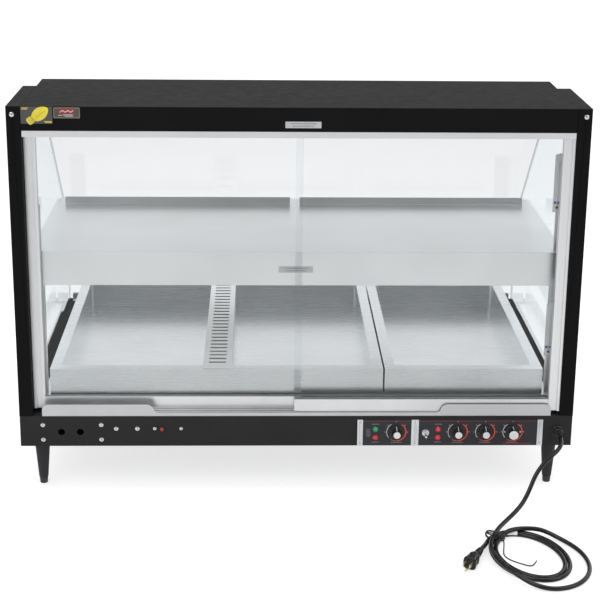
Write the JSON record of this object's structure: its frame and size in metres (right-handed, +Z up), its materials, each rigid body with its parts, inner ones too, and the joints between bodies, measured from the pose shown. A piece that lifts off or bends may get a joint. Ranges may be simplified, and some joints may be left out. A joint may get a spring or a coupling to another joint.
{
  "type": "hot food display case",
  "caption": "Countertop heated food display case with sliding glass doors, a bent customer-side pane, a heated shelf, lift-out trays, a slotted vent cover, knobs and a mains cord.",
  "frame": {"origin": "on the counter surface, under the middle of the case's box without the free cord", "axes": "+X along the case's width to the operator's right, +Y from the operator's doors to the customer's glass, +Z up"},
  "size_m": [1.156, 1.0732, 0.824],
  "materials": {
    "black_powder": "satin black powder coat",
    "stainless": "brushed",
    "galvanised": "dull zinc",
    "alloy": "satin anodised",
    "guard_steel": "light satin coat",
    "pane": "clear tempered",
    "bulb_glass": "frosted",
    "leg_plastic": "moulded",
    "foot_rubber": "matt",
    "overlay": "charcoal overlay",
    "knob_black": "moulded",
    "lens_green": "translucent",
    "lens_red": "translucent",
    "button_red": "moulded",
    "ceramic": "glazed ceramic or phenolic",
    "sheath": "heat-darkened sheath",
    "zinc": "zinc-plated",
    "white_plastic": "white",
    "cord_rubber": "satin jacket",
    "prong_brass": "bright"
  },
  "bodies": {
    "cabinet": {"base_housing": "black_powder", "bottom_pan": "galvanised", "legs": "leg_plastic", "leg_feet": "foot_rubber", "heated_deck": "stainless", "side_sills": "black_powder", "glass_sill": "black_powder", "post_left": "black_powder", "post_right": "black_powder", "canopy_shell": "black_powder", "canopy_reflector": "stainless", "lamp_sockets": "ceramic", "lamp_bulbs": "bulb_glass", "upper_elements": "sheath", "top_track": "alloy", "bottom_track": "alloy", "door_guard": "guard_steel", "curved_glass": "pane", "glass_clamp": "alloy", "glass_clips": "stainless", "side_glass_left": "pane", "side_glass_right": "pane", "shelf_shell": "stainless", "shelf_bottom_pan": "stainless", "shelf_rails": "stainless", "shelf_uprights": "stainless", "thermometers": "white_plastic", "water_pan": "galvanised", "lower_elements": "sheath", "control_panel_left": "overlay", "control_panel_right": "overlay", "panel_brackets": "alloy", "thermostats": "ceramic", "toggle_switch": "stainless", "indicator_green": "lens_green", "indicators_red": "lens_red", "case_screws": "zinc", "terminal_block": "ceramic", "cord_gland": "cord_rubber", "cord": "cord_rubber", "cord_coil": "cord_rubber", "cord_tie": "cord_rubber", "plug_body": "cord_rubber", "plug_prongs": "prong_brass"},
    "door_left": {"door_glass_left": "pane", "door_stile_left": "alloy", "door_rail_left": "alloy"},
    "door_right": {"door_glass_right": "pane", "door_stile_right": "alloy", "door_rail_right": "alloy"},
    "tray_left": {"tray_left": "stainless", "tray_left_inner": "stainless"},
    "tray_right": {"tray_right": "stainless"},
    "vent_cover": {"vent_cover": "stainless"},
    "knob_humidity": {"knob_humidity": "knob_black"},
    "knob_deck": {"knob_deck": "knob_black"},
    "knob_shelf": {"knob_shelf": "knob_black"},
    "knob_canopy": {"knob_canopy": "knob_black"},
    "toggle_lever": {"toggle_lever": "zinc"},
    "reset_button": {"reset_button": "button_red"}
  },
  "joints": [
    {"name": "door_left_slide", "type": "slide", "parent": "cabinet", "child": "door_left", "axis": [1, 0, 0], "range_m": [0, 0.53]},
    {"name": "door_right_slide", "type": "slide", "parent": "cabinet", "child": "door_right", "axis": [-1, 0, 0], "range_m": [0, 0.53]},
    {"name": "tray_left_lift", "type": "slide", "parent": "cabinet", "child": "tray_left", "axis": [0, 0, 1], "range_m": [0, 0.04]},
    {"name": "tray_right_lift", "type": "slide", "parent": "cabinet", "child": "tray_right", "axis": [0, 0, 1], "range_m": [0, 0.04]},
    {"name": "vent_cover_lift", "type": "slide", "parent": "tray_left", "child": "vent_cover", "axis": [0, 0, 1], "range_m": [0, 0.06]},
    {"name": "knob_humidity_turn", "type": "hinge", "parent": "cabinet", "child": "knob_humidity", "pos_m": [0.2074, -0.315, 0.1333], "axis": [0, 1, 0], "range_deg": [0, 270]},
    {"name": "knob_deck_turn", "type": "hinge", "parent": "cabinet", "child": "knob_deck", "pos_m": [0.3366, -0.315, 0.1333], "axis": [0, 1, 0], "range_deg": [0, 270]},
    {"name": "knob_shelf_turn", "type": "hinge", "parent": "cabinet", "child": "knob_shelf", "pos_m": [0.3945, -0.315, 0.1333], "axis": [0, 1, 0], "range_deg": [0, 270]},
    {"name": "knob_canopy_turn", "type": "hinge", "parent": "cabinet", "child": "knob_canopy", "pos_m": [0.4522, -0.315, 0.1333], "axis": [0, 1, 0], "range_deg": [0, 270]},
    {"name": "toggle_flip", "type": "hinge", "parent": "cabinet", "child": "toggle_lever", "pos_m": [0.269, -0.317, 0.1313], "axis": [-1, 0, 0], "range_deg": [0, 28]},
    {"name": "reset_press", "type": "slide", "parent": "cabinet", "child": "reset_button", "axis": [0, 1, 0], "range_m": [0, 0.002], "stiffness_N_per_m": 400}
  ]
}
